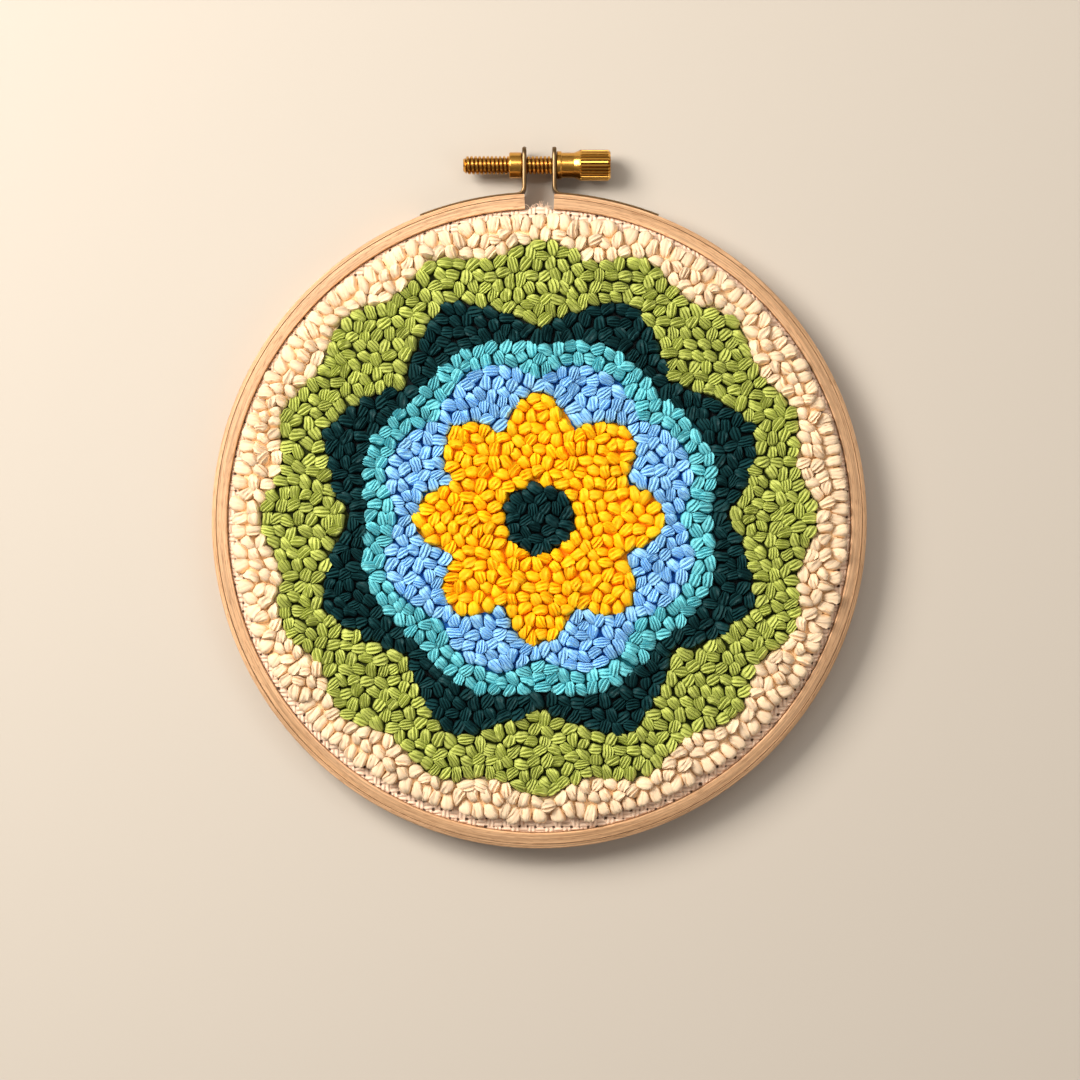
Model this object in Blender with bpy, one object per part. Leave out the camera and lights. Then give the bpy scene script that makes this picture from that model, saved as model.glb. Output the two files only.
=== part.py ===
"""Punch needle wall piece: yarn loops worked in an open cotton cloth, held in a split wooden
embroidery hoop whose two metal lugs are drawn together by a brass thumbscrew.

The piece lies on its back. +Z points out of the worked face and +Y towards the screw. The row's
origin is under the middle of the bounding box, and "hoop_centre" is the middle of the rings.
"""

import math

import bmesh
import bpy
from mathutils import Matrix, Vector

MM = 0.001
GAP = 0.3 * MM

# Wooden rings, lying on z = 0
OUTER_RADIUS = 80.0 * MM
OUTER_WALL = 3.9 * MM
OUTER_HEIGHT = 10.0 * MM
SHOULDER = 0.9 * MM
SPLIT_WIDTH = 7.2 * MM
INNER_WALL = 5.0 * MM
RING_STEPS = 72

# Cloth, stretched over the inner ring and pinched between the two
CLOTH_THICKNESS = 1.2 * MM
SKIRT_FOOT = 0.5 * MM

# Yarn pile, in bands of one colour each
PILE_HEIGHT = 4.4 * MM
PILE_SHOULDER = 1.1 * MM
PILE_ROW = 5.6 * MM
PILE_CENTRE_Y = 0.6 * MM
LUMP_PITCH = 11.0 * MM
LUMP_RISE = 0.35 * MM
LOBES = 8
BAND_STEPS = 96

# Strap lugs, bent out of flat strip
LUG_TOP = 91.7 * MM
LUG_INNER_X = 3.15 * MM
LUG_THICKNESS = 1.05 * MM
LUG_LOW = 0.9 * MM
LUG_HIGH = 9.1 * MM
LUG_CORNER = 2.6 * MM
BEND_RADIUS = 1.4 * MM
FOOT_THICKNESS = 0.55 * MM
FOOT_SWEEP_DEG = 17.5
FOOT_STEPS = 8

# Thumbscrew along X, with its nut and bushing
SCREW_RADIUS_FROM_CENTRE = 87.3 * MM
THREAD_CREST = 2.25 * MM
THREAD_ROOT = 1.8 * MM
THREAD_PITCH = 1.0 * MM
THREAD_START = -18.65 * MM
THREAD_END = 4.35 * MM
BORE = THREAD_CREST + GAP
NUT_RADIUS = 3.18 * MM
NUT_LENGTH = 2.9 * MM
FLANGE_RADIUS = 3.45 * MM
NECK_RADIUS = 3.2 * MM
FLANGE_LENGTH = 1.7 * MM
BUSHING_LENGTH = 3.65 * MM
HEAD_RADIUS = 3.8 * MM
CONE_RADIUS = 3.0 * MM
CONE_LENGTH = 1.25 * MM
HEAD_END = 17.45 * MM
TURNED_STEPS = 16

cloth_front = OUTER_HEIGHT
cloth_back = cloth_front - CLOTH_THICKNESS
skirt_outer = OUTER_RADIUS - OUTER_WALL - GAP
skirt_inner = skirt_outer - CLOTH_THICKNESS
inner_ring_outer = skirt_inner - GAP
inner_ring_top = cloth_back - GAP
pile_foot = cloth_front + GAP
row_centre_y = (LUG_TOP - OUTER_RADIUS) / 2


def scallop(angle, turn=0.0):
    """Round lobes, 1 at each lobe's top and near 0 in the dips between."""
    return math.sqrt(math.cos(LOBES * (angle - turn) / 2) ** 2 + 0.03)


def leaf(angle, turn):
    """Pointed leaves, 1 at each tip and 0 where two of them meet."""
    place = ((angle - turn) * LOBES / (2 * math.pi)) % 1.0
    return (1 - 2 * min(place, 1 - place)) ** 0.9


HALF_LOBE = math.pi / LOBES

# name, colour, outer edge as a radius in mm at an angle; each band starts where the last one ends
YARN_BANDS = [
    ("yarn_seed", (0.010, 0.040, 0.055), lambda a: 8.6),
    ("yarn_gold", (0.95, 0.47, 0.01), lambda a: 21.5 + 9.0 * scallop(a)),
    ("yarn_blue", (0.22, 0.45, 0.80), lambda a: 33.4 + 5.8 * scallop(a, HALF_LOBE)),
    ("yarn_turquoise", (0.12, 0.48, 0.50), lambda a: 41.6 + 3.2 * scallop(a, HALF_LOBE)),
    ("yarn_teal", (0.010, 0.045, 0.060), lambda a: 45.6 + 11.4 * leaf(a, HALF_LOBE)),
    ("yarn_lime", (0.38, 0.45, 0.07), lambda a: 66.0 + 1.8 * math.cos(2 * LOBES * a)),
    ("yarn_cream", (0.90, 0.78, 0.58), lambda a: 74.0 + 0.7 * math.cos(2 * a)),
]


def make_material(name, colour, roughness, metallic=0.0):
    material = bpy.data.materials.new(name)
    material.use_nodes = True
    shader = material.node_tree.nodes["Principled BSDF"]
    shader.inputs["Base Color"].default_value = (*colour, 1.0)
    shader.inputs["Roughness"].default_value = roughness
    shader.inputs["Metallic"].default_value = metallic
    return material


def make_empty(name, place, parent=None):
    empty = bpy.data.objects.new(name, None)
    empty.location = place
    empty.parent = parent
    bpy.context.scene.collection.objects.link(empty)
    return empty


def make_object(name, bm, material, parent, smooth=True):
    """Turns a finished bmesh into one object on its parent."""
    bmesh.ops.recalc_face_normals(bm, faces=bm.faces)
    mesh = bpy.data.meshes.new(name)
    bm.to_mesh(mesh)
    bm.free()
    mesh.materials.append(material)
    if smooth:
        mesh.shade_smooth()
        mesh.set_sharp_from_angle(angle=math.radians(35))
    made = bpy.data.objects.new(name, mesh)
    made.parent = parent
    bpy.context.scene.collection.objects.link(made)
    return made


def turned_ring(section, steps):
    """A full ring about Z from a closed section of (radius, height) points."""
    bm = bmesh.new()
    corners = [bm.verts.new((radius, 0, height)) for radius, height in section]
    for one, other in zip(corners, corners[1:] + corners[:1]):
        bm.edges.new((one, other))
    bmesh.ops.spin(bm, geom=bm.verts[:] + bm.edges[:], cent=(0, 0, 0), axis=(0, 0, 1),
                   angle=2 * math.pi, steps=steps, use_merge=True)
    bmesh.ops.remove_doubles(bm, verts=bm.verts, dist=MM / 1000)
    return bm


def turned_rod(section, steps):
    """A solid about X from an open section of (place, radius) points that ends on the axis."""
    bm = bmesh.new()
    points = [bm.verts.new((place, radius, 0)) for place, radius in section]
    for one, other in zip(points, points[1:]):
        bm.edges.new((one, other))
    bmesh.ops.spin(bm, geom=bm.verts[:] + bm.edges[:], cent=(0, 0, 0), axis=(1, 0, 0),
                   angle=2 * math.pi, steps=steps, use_merge=True)
    bmesh.ops.remove_doubles(bm, verts=bm.verts, dist=MM / 1000)
    return bm


def lie_along_x(bm):
    """Turns a ring made about Z so that its axis is X and its height runs along +X."""
    bmesh.ops.rotate(bm, verts=bm.verts, cent=(0, 0, 0), matrix=Matrix.Rotation(math.pi / 2, 3, "Y"))


def outer_hoop(parent, material):
    """Split ring of bent wood: flat back and front, shouldered outside, open at the top."""
    inside = OUTER_RADIUS - OUTER_WALL
    section = [
        (inside, 0),
        (OUTER_RADIUS - SHOULDER, 0),
        (OUTER_RADIUS, SHOULDER),
        (OUTER_RADIUS, OUTER_HEIGHT - SHOULDER),
        (OUTER_RADIUS - SHOULDER, OUTER_HEIGHT),
        (inside, OUTER_HEIGHT),
    ]
    half_split = math.asin(SPLIT_WIDTH / 2 / (OUTER_RADIUS - OUTER_WALL / 2))
    bm = bmesh.new()
    corners = [bm.verts.new((radius, 0, height)) for radius, height in section]
    first_end = bm.faces.new(corners)
    bmesh.ops.rotate(bm, verts=corners, cent=(0, 0, 0),
                     matrix=Matrix.Rotation(math.pi / 2 + half_split, 3, "Z"))
    swept = bmesh.ops.spin(bm, geom=list(first_end.edges) + corners, cent=(0, 0, 0), axis=(0, 0, 1),
                           angle=2 * math.pi - 2 * half_split, steps=RING_STEPS)
    last_edges = [part for part in swept["geom_last"] if isinstance(part, bmesh.types.BMEdge)]
    bmesh.ops.contextual_create(bm, geom=last_edges)
    return make_object("outer_hoop", bm, material, parent)


def inner_hoop(parent, material):
    """Full ring that the cloth is stretched over."""
    inside = inner_ring_outer - INNER_WALL
    edge = 0.5 * MM
    section = [
        (inside, 0),
        (inner_ring_outer, 0),
        (inner_ring_outer, inner_ring_top - edge),
        (inner_ring_outer - edge, inner_ring_top),
        (inside, inner_ring_top),
    ]
    return make_object("inner_hoop", turned_ring(section, RING_STEPS), material, parent)


def backing_cloth(parent, material):
    """One sheet: flat over the inner ring, then down between the rings to a trimmed edge."""
    turn = 0.6 * MM
    section = [
        (0, cloth_front),
        (skirt_outer - turn, cloth_front),
        (skirt_outer, cloth_front - turn),
        (skirt_outer, SKIRT_FOOT),
        (skirt_inner, SKIRT_FOOT),
        (skirt_inner, cloth_back),
        (0, cloth_back),
    ]
    bm = bmesh.new()
    points = [bm.verts.new((radius, 0, height)) for radius, height in section]
    for one, other in zip(points, points[1:]):
        bm.edges.new((one, other))
    bmesh.ops.spin(bm, geom=bm.verts[:] + bm.edges[:], cent=(0, 0, 0), axis=(0, 0, 1),
                   angle=2 * math.pi, steps=RING_STEPS, use_merge=True)
    bmesh.ops.remove_doubles(bm, verts=bm.verts, dist=MM / 1000)
    return make_object("backing_cloth", bm, material, parent)


def edge_line(radius_at, shift):
    """The points of a band's edge, moved outwards by shift along the edge's own normal."""
    points = []
    small = 0.002
    for step in range(BAND_STEPS):
        angle = 2 * math.pi * step / BAND_STEPS
        radius = radius_at(angle) * MM
        slope = (radius_at(angle + small) - radius_at(angle - small)) * MM / (2 * small)
        outward = Vector((math.cos(angle), math.sin(angle)))
        along = Vector((-math.sin(angle), math.cos(angle)))
        normal = (outward * radius - along * slope).normalized()
        points.append(outward * radius + normal * shift)
    return points


def lump(point):
    """The gentle unevenness of the pile's top."""
    wave = 2 * math.pi / LUMP_PITCH
    return LUMP_RISE * math.sin(wave * point.x + math.sin(wave * point.y / 2)) * math.cos(wave * point.y)


def add_loop(bm, points, height_at):
    return [bm.verts.new((point.x, point.y + PILE_CENTRE_Y, height_at(point))) for point in points]


def yarn_band(name, inner_at, outer_at, parent, material):
    """One colour of the pile: a low ring, or a disc in the middle, with soft shoulders."""
    pile_top = pile_foot + PILE_HEIGHT
    outer = edge_line(outer_at, -GAP / 2)
    inner = edge_line(inner_at, GAP / 2) if inner_at else [Vector((0, 0))] * BAND_STEPS
    widest = max((one - other).length for one, other in zip(outer, inner))
    rows = max(2, round(widest / PILE_ROW))
    foot = lambda point: pile_foot
    shoulder = lambda point: pile_top - PILE_SHOULDER
    crown = lambda point: pile_top + lump(point)
    bm = bmesh.new()
    loops = [add_loop(bm, outer, foot), add_loop(bm, outer, shoulder)]
    for row in range(rows + 1 if inner_at else rows):
        line = []
        for far, near in zip(outer, inner):
            across = near - far
            inset = min(PILE_SHOULDER / across.length, 0.3)
            share = inset + (1 - 2 * inset if inner_at else 1 - inset) * row / rows
            line.append(far + across * share)
        loops.append(add_loop(bm, line, crown))
    if inner_at:
        loops += [add_loop(bm, inner, shoulder), add_loop(bm, inner, foot)]
    pairs = list(zip(loops, loops[1:]))
    if inner_at:
        pairs.append((loops[-1], loops[0]))
    for low, high in pairs:
        for step in range(BAND_STEPS):
            following = (step + 1) % BAND_STEPS
            bm.faces.new((low[step], low[following], high[following], high[step]))
    if not inner_at:
        bm.faces.new(loops[0])
        bm.faces.new(loops[-1])
    return make_object(name, bm, material, parent, smooth=False)


def lug_section(foot_radius):
    """The bent strip's outline for the right lug, seen from the front: foot, bend and upright."""
    foot_outer = foot_radius + FOOT_THICKNESS
    upright_outer_x = LUG_INNER_X + LUG_THICKNESS
    bend_x = upright_outer_x + BEND_RADIUS
    first = math.asin(bend_x / foot_outer)
    last = first + math.radians(FOOT_SWEEP_DEG)
    sweep = [first + (last - first) * step / FOOT_STEPS for step in range(FOOT_STEPS + 1)]
    on_circle = lambda radius, angle: (radius * math.sin(angle), radius * math.cos(angle))
    bend_y = foot_outer * math.cos(first) + BEND_RADIUS
    outline = [(LUG_INNER_X, LUG_TOP), (LUG_INNER_X, bend_y - BEND_RADIUS * 0.4)]
    outline.append((LUG_INNER_X + LUG_THICKNESS * 0.5, foot_radius * math.cos(first / 2)))
    outline += [on_circle(foot_radius, angle) for angle in sweep]
    outline += [on_circle(foot_outer, angle) for angle in reversed(sweep)]
    for step in range(1, 4):
        angle = math.radians(90 + 30 * step)
        outline.append((bend_x + BEND_RADIUS * math.cos(angle), bend_y - BEND_RADIUS * math.sin(angle)))
    outline.append((upright_outer_x, LUG_TOP))
    return outline


def lug(name, side, parent, material):
    """Strap lug: a thin foot along the hoop's outside, bent up into an upright with a hole."""
    bm = bmesh.new()
    outline = lug_section(OUTER_RADIUS + GAP)
    flat = bm.faces.new([bm.verts.new((side * x, y, LUG_LOW)) for x, y in outline])
    raised = bmesh.ops.extrude_face_region(bm, geom=[flat])
    moved = [part for part in raised["geom"] if isinstance(part, bmesh.types.BMVert)]
    bmesh.ops.translate(bm, verts=moved, vec=(0, 0, LUG_HIGH - LUG_LOW))
    top_corners = [
        edge for edge in bm.edges
        if all(abs(end.co.y - LUG_TOP) < MM / 100 for end in edge.verts)
        and abs(edge.verts[0].co.z - edge.verts[1].co.z) < MM / 100
    ]
    bmesh.ops.bevel(bm, geom=top_corners, offset=LUG_CORNER, segments=3, profile=0.5,
                    affect="EDGES", material=-1)
    made = make_object(name, bm, material, parent)
    drill = made.modifiers.new("screw hole", "BOOLEAN")
    drill.object = bpy.data.objects["screw_drill"]
    drill.operation = "DIFFERENCE"
    return made


def screw_drill(parent):
    """Guide that cuts the screw's hole through both lugs."""
    bm = bmesh.new()
    bmesh.ops.create_cone(bm, cap_ends=True, segments=TURNED_STEPS, radius1=BORE, radius2=BORE,
                          depth=8 * LUG_INNER_X)
    lie_along_x(bm)
    mesh = bpy.data.meshes.new("screw_drill")
    bm.to_mesh(mesh)
    bm.free()
    drill = bpy.data.objects.new("screw_drill", mesh)
    drill.parent = parent
    drill.hide_render = True
    drill.display_type = "WIRE"
    bpy.context.scene.collection.objects.link(drill)


def thumbscrew(parent, material):
    """Threaded shank, plain under the bushing, with a coned and chamfered head."""
    shank_end = LUG_INNER_X + LUG_THICKNESS + GAP + BUSHING_LENGTH + GAP
    section = [(THREAD_START, 0), (THREAD_START, THREAD_ROOT)]
    turns = round((THREAD_END - THREAD_START) / THREAD_PITCH)
    for turn in range(turns):
        start = THREAD_START + turn * THREAD_PITCH
        section.append((start + THREAD_PITCH * 0.5, THREAD_CREST))
        section.append((start + THREAD_PITCH, THREAD_ROOT))
    section += [
        (THREAD_END, THREAD_CREST),
        (shank_end, THREAD_CREST),
        (shank_end, CONE_RADIUS),
        (shank_end + CONE_LENGTH, HEAD_RADIUS),
        (HEAD_END - 0.5 * MM, HEAD_RADIUS),
        (HEAD_END, HEAD_RADIUS - 0.5 * MM),
        (HEAD_END, 0),
    ]
    return make_object("thumbscrew", turned_rod(section, TURNED_STEPS), material, parent)


def bushing(parent, material):
    """Stepped sleeve between the right lug and the screw's head."""
    start = LUG_INNER_X + LUG_THICKNESS + GAP
    section = [
        (BORE, start),
        (FLANGE_RADIUS, start),
        (FLANGE_RADIUS, start + FLANGE_LENGTH),
        (NECK_RADIUS, start + FLANGE_LENGTH),
        (NECK_RADIUS, start + BUSHING_LENGTH),
        (BORE, start + BUSHING_LENGTH),
    ]
    bm = turned_ring(section, TURNED_STEPS)
    lie_along_x(bm)
    return make_object("bushing", bm, material, parent)


def nut(parent, material):
    """Round nut against the outside of the left lug."""
    end = -(LUG_INNER_X + LUG_THICKNESS + GAP)
    start = end - NUT_LENGTH
    chamfer = 0.3 * MM
    section = [
        (BORE, start),
        (NUT_RADIUS - chamfer, start),
        (NUT_RADIUS, start + chamfer),
        (NUT_RADIUS, end - chamfer),
        (NUT_RADIUS - chamfer, end),
        (BORE, end),
    ]
    bm = turned_ring(section, TURNED_STEPS)
    lie_along_x(bm)
    return make_object("nut", bm, material, parent)


for old in list(bpy.data.objects):
    bpy.data.objects.remove(old, do_unlink=True)

wood = make_material("wood", (0.77, 0.50, 0.30), 0.55)
cotton = make_material("cotton", (0.88, 0.80, 0.70), 0.9)
nickel = make_material("nickel", (0.48, 0.42, 0.34), 0.35, metallic=1.0)
brass = make_material("brass", (0.60, 0.40, 0.14), 0.3, metallic=1.0)

hoop_centre = make_empty("hoop_centre", (0, -row_centre_y, 0))
screw_axis = make_empty("screw_axis", (0, SCREW_RADIUS_FROM_CENTRE, OUTER_HEIGHT / 2), hoop_centre)

outer_hoop(hoop_centre, wood)
inner_hoop(hoop_centre, wood)
backing_cloth(hoop_centre, cotton)
band_starts = [None] + [band[2] for band in YARN_BANDS]
for band_start, (band_name, band_colour, band_end) in zip(band_starts, YARN_BANDS):
    yarn = make_material(band_name, band_colour, 0.85)
    yarn_band(band_name, band_start, band_end, hoop_centre, yarn)
screw_drill(screw_axis)
lug("lug_left", -1, hoop_centre, nickel)
lug("lug_right", 1, hoop_centre, nickel)
thumbscrew(screw_axis, brass)
bushing(screw_axis, brass)
nut(screw_axis, brass)
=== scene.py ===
"""Looks of a punch needle wall piece: yarn loops in open cotton cloth, held in a split wooden
embroidery hoop with two strap lugs and a brass thumbscrew. It lies on its back, seen from above.
"""

import math
import random

import bmesh
import bpy
from mathutils import Matrix, Vector, kdtree


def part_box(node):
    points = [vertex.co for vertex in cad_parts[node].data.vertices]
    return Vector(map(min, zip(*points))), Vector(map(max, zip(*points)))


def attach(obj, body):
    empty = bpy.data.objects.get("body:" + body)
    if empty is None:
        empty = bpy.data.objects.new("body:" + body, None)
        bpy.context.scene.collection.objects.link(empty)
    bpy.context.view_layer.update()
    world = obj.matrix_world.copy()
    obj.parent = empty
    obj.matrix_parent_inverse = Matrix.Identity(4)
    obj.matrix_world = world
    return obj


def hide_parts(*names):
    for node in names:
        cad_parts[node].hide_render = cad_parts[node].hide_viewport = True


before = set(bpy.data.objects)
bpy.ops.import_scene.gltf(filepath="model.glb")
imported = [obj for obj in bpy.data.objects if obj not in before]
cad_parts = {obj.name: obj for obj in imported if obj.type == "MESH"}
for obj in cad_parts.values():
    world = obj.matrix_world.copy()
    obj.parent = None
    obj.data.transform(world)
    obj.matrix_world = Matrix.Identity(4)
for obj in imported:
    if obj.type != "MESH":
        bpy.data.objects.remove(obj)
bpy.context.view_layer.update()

MM = 0.001
outer_low, outer_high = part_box("outer_hoop")
inner_low, inner_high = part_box("inner_hoop")
HOOP = Vector(((inner_low[0] + inner_high[0]) / 2, (inner_low[1] + inner_high[1]) / 2, 0.0))

# Camera
# It looks straight down, as far off as a tabletop picture is taken. The hoop's middle stands a
# little above the middle of the picture.
PICTURE_PX = 1080
PX_PER_MM = 4.1
HOOP_PX = (539.3, 521.0)
CAMERA_DISTANCE = 0.85
camera_data = bpy.data.cameras.new("camera")
camera_data.lens = camera_data.sensor_width * CAMERA_DISTANCE / (PICTURE_PX / PX_PER_MM * MM)
camera = bpy.data.objects.new("camera", camera_data)
camera.location = (
    HOOP.x + (PICTURE_PX / 2 - HOOP_PX[0]) / PX_PER_MM * MM,
    HOOP.y - (PICTURE_PX / 2 - HOOP_PX[1]) / PX_PER_MM * MM,
    outer_high[2] + CAMERA_DISTANCE,
)
bpy.context.scene.collection.objects.link(camera)
bpy.context.scene.camera = camera

# Inner hoop
# A thin beech strip, bent into a full ring with a glued butt joint, sanded and left bare. The
# cloth is stretched over it.
INNER_RADIUS = inner_high[0] - HOOP.x
INNER_WALL = 5.0 * MM
OUTER_WALL = 3.9 * MM
OUTER_INSIDE = (outer_high[0] - outer_low[0]) / 2 - OUTER_WALL
RING_STEPS = 240
WOOD_LIGHT = (0.655, 0.405, 0.23, 1)
WOOD_DARK = (0.445, 0.24, 0.108, 1)
WOOD_PORE = (0.26, 0.12, 0.05, 1)
WOOD_EVENNESS = 0.38
PORE_DARKNESS = 0.55
PAINTED_HIGHLIGHT_PEAK = 1.2
# share of the outer hoop's wall from its inside, and how light the wood is painted there: painted
# highlights along the rounded inner edge, beside the glue line and on the rounded outer shoulder, and the
# glue line's own dark
WALL_HIGHLIGHTS_AND_GLUE_LINE = [(0.0, PAINTED_HIGHLIGHT_PEAK), (0.08, 1.14), (0.15, 1.0), (0.58, 0.94), (0.66, 1.10), (0.71, 0.55),
                  (0.75, PAINTED_HIGHLIGHT_PEAK), (0.84, 0.99), (0.93, 1.18)]


def add_node(tree, kind, settings=None, **sockets):
    """Adds a shader node; a socket named here is given a value or is linked from another's output."""
    node = tree.nodes.new(kind)
    for name, value in (settings or {}).items():
        setattr(node, name, value)
    for name, value in sockets.items():
        socket = node.inputs[int(name[1:])] if name[1:].isdigit() else node.inputs[name.replace("_", " ")]
        if isinstance(value, bpy.types.NodeSocket):
            tree.links.new(value, socket)
        else:
            socket.default_value = value
    return node


def new_material(name, **sockets):
    """A Principled material whose constant sockets are set directly."""
    material = bpy.data.materials.new(name)
    material.use_nodes = True
    shader = material.node_tree.nodes["Principled BSDF"]
    for socket, value in sockets.items():
        shader.inputs[socket.replace("_", " ")].default_value = value
    return material, material.node_tree, shader


def calculate(tree, operation, first, second=0.5):
    """One step of arithmetic on a value in a material."""
    return add_node(tree, "ShaderNodeMath", {"operation": operation}, i0=first, i1=second).outputs[0]


def blend_colours(tree, share, first, second, kind="MIX"):
    """Mixes two colours of a material by a share from 0 to 1."""
    node = add_node(tree, "ShaderNodeMix", {"data_type": "RGBA", "blend_type": kind}, i0=share, i6=first,
                    i7=second)
    return node.outputs[2]


def rescale(tree, value, low, high, to_low=0.0, to_high=1.0):
    """Spreads the range from low to high of a value in a material over another range."""
    return add_node(tree, "ShaderNodeMapRange", None, Value=value, From_Min=low, From_Max=high,
                    To_Min=to_low, To_Max=to_high).outputs[0]


def stretched_noise(tree, at, stretch, detail, roughness=0.5):
    """Noise drawn out along one way of a pattern, with its features per metre along each axis."""
    place = add_node(tree, "ShaderNodeMapping", None, Vector=at, Scale=stretch).outputs[0]
    return add_node(tree, "ShaderNodeTexNoise", None, Vector=place, Scale=1.0, Detail=detail,
                    Roughness=roughness).outputs[0]


def raise_surface(tree, shader, height, strength, depth):
    """Fine relief of a finish, from a height in its material."""
    bump = add_node(tree, "ShaderNodeBump", None, Strength=strength, Distance=depth, Height=height)
    tree.links.new(bump.outputs[0], shader.inputs["Normal"])


def make_piece(name, bm, material, sharp_deg=35):
    """Turns a bmesh into a smooth-shaded piece at the origin."""
    mesh = bpy.data.meshes.new(name)
    bm.to_mesh(mesh)
    bm.free()
    mesh.materials.append(material)
    mesh.shade_smooth()
    mesh.set_sharp_from_angle(angle=math.radians(sharp_deg))
    piece = bpy.data.objects.new(name, mesh)
    bpy.context.scene.collection.objects.link(piece)
    return piece


def wood_material(name):
    """Bare beech: fine pores and streaks that run along the strip, by the strip's own lengths, and lines
    across the outer hoop's wall: painted highlights along its edges and beside the glue line, and the glue
    line's own dark.
    """
    material, tree, shader = new_material(name, Roughness=0.55, Specular_IOR_Level=0.35)
    grain = add_node(tree, "ShaderNodeAttribute", {"attribute_name": "grain"}).outputs["Vector"]
    streaks = stretched_noise(tree, grain, (45, 3400, 1500), 3.0)
    pores = rescale(tree, stretched_noise(tree, grain, (420, 5200, 3000), 1.0), 0.56, 0.66)
    tone = rescale(tree, stretched_noise(tree, grain, (30, 700, 260), 5.0, 0.6), 0.3, 0.7)
    colour = blend_colours(tree, tone, WOOD_DARK, WOOD_LIGHT)
    soft = blend_colours(tree, WOOD_EVENNESS, colour, WOOD_LIGHT)
    streaked = add_node(tree, "ShaderNodeVectorMath", {"operation": "SCALE"}, i0=soft,
                        Scale=rescale(tree, streaks, 0.40, 0.60, 0.72, 1.07))
    pored = blend_colours(tree, calculate(tree, "MULTIPLY", pores, PORE_DARKNESS), streaked.outputs[0],
                          WOOD_PORE)
    across = add_node(tree, "ShaderNodeSeparateXYZ", None, Vector=grain).outputs["Y"]
    # Lines across the outer hoop's wall: painted highlights along its edges and beside the glue line, and
    # the dark glue line itself.
    share = calculate(tree, "DIVIDE", calculate(tree, "SUBTRACT", across, OUTER_INSIDE), OUTER_WALL)
    ramp = add_node(tree, "ShaderNodeValToRGB", None, Fac=share)
    for number, (place, light) in enumerate(WALL_HIGHLIGHTS_AND_GLUE_LINE):
        stop = ramp.color_ramp.elements[0] if number == 0 else ramp.color_ramp.elements.new(place)
        stop.position = place
        stop.color = (light / PAINTED_HIGHLIGHT_PEAK, light / PAINTED_HIGHLIGHT_PEAK, light / PAINTED_HIGHLIGHT_PEAK, 1)
    lined_with_highlights = add_node(tree, "ShaderNodeVectorMath", {"operation": "MULTIPLY"}, i0=pored, i1=ramp.outputs[0])
    final = add_node(tree, "ShaderNodeVectorMath", {"operation": "SCALE"}, i0=lined_with_highlights.outputs[0],
                     Scale=PAINTED_HIGHLIGHT_PEAK)
    tree.links.new(final.outputs[0], shader.inputs["Base Color"])
    raise_surface(tree, shader, calculate(tree, "SUBTRACT", streaks, pores), 0.35, 0.12 * MM)
    return material


def arc(centre, radius, start_deg, end_deg, steps=5):
    """Points of a round corner in a section."""
    angles = [math.radians(start_deg + (end_deg - start_deg) * step / steps) for step in range(steps + 1)]
    return [(centre[0] + radius * math.cos(a), centre[1] + radius * math.sin(a)) for a in angles]


def bent_strip(section, opening):
    """A ring bent from a strip, with its two ends opening apart at the top, closed at both ends."""
    bm = bmesh.new()
    corners = [bm.verts.new((radius, 0, height)) for radius, height in section]
    end_face = bm.faces.new(corners)
    half = math.asin(opening / 2 / section[0][0])
    bmesh.ops.rotate(bm, verts=corners, cent=(0, 0, 0), matrix=Matrix.Rotation(math.pi / 2 + half, 3, "Z"))
    swept = bmesh.ops.spin(bm, geom=list(end_face.edges) + corners, cent=(0, 0, 0), axis=(0, 0, 1),
                           angle=2 * math.pi - 2 * half, steps=RING_STEPS)
    last = [part for part in swept["geom_last"] if isinstance(part, bmesh.types.BMEdge)]
    bmesh.ops.contextual_create(bm, geom=last)
    bmesh.ops.recalc_face_normals(bm, faces=bm.faces)
    grain = bm.verts.layers.float_vector.new("grain")
    for vert in bm.verts:
        radius = math.hypot(vert.co.x, vert.co.y)
        from_split = (math.atan2(vert.co.y, vert.co.x) - math.pi / 2) % (2 * math.pi)
        vert[grain] = (from_split * section[0][0], radius, vert.co.z)
    bmesh.ops.translate(bm, verts=bm.verts, vec=HOOP)
    return bm


inner_inside = INNER_RADIUS - INNER_WALL
inner_edge = 0.6 * MM
inner_section = [
    *arc((inner_inside + inner_edge, inner_edge), inner_edge, 180, 270),
    *arc((INNER_RADIUS - inner_edge, inner_edge), inner_edge, 270, 360),
    *arc((INNER_RADIUS - inner_edge, inner_high[2] - inner_edge), inner_edge, 0, 90),
    *arc((inner_inside + inner_edge, inner_high[2] - inner_edge), inner_edge, 90, 180),
]
wood = wood_material("bare_beech")
inner_ring = make_piece("inner_ring", bent_strip(inner_section, 0.1 * MM), wood)
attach(inner_ring, "hoop")
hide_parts("inner_hoop")

# Cloth
# Open basket-weave cotton, two threads each way with a hole between the pairs. It is stretched
# over the inner hoop, pinched between the rings and trimmed just short of their backs.
cloth_low, cloth_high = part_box("backing_cloth")
CLOTH_RADIUS = cloth_high[0] - HOOP.x + 0.2 * MM
CLOTH_THICKNESS = 1.2 * MM
WEAVE_PITCH = 2.1 * MM
CLOTH_STEPS = 360
CLOTH_COLOUR = (0.93, 0.72, 0.56, 1)
CLOTH_PAINTED_SHADE = (0.62, 0.38, 0.25, 1)
HOLE_PAINTED_SHADE = (0.09, 0.04, 0.02, 1)
SPLIT_BULGE = 0.9 * MM
SPLIT_HALF_WIDTH = 3.4 * MM


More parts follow.
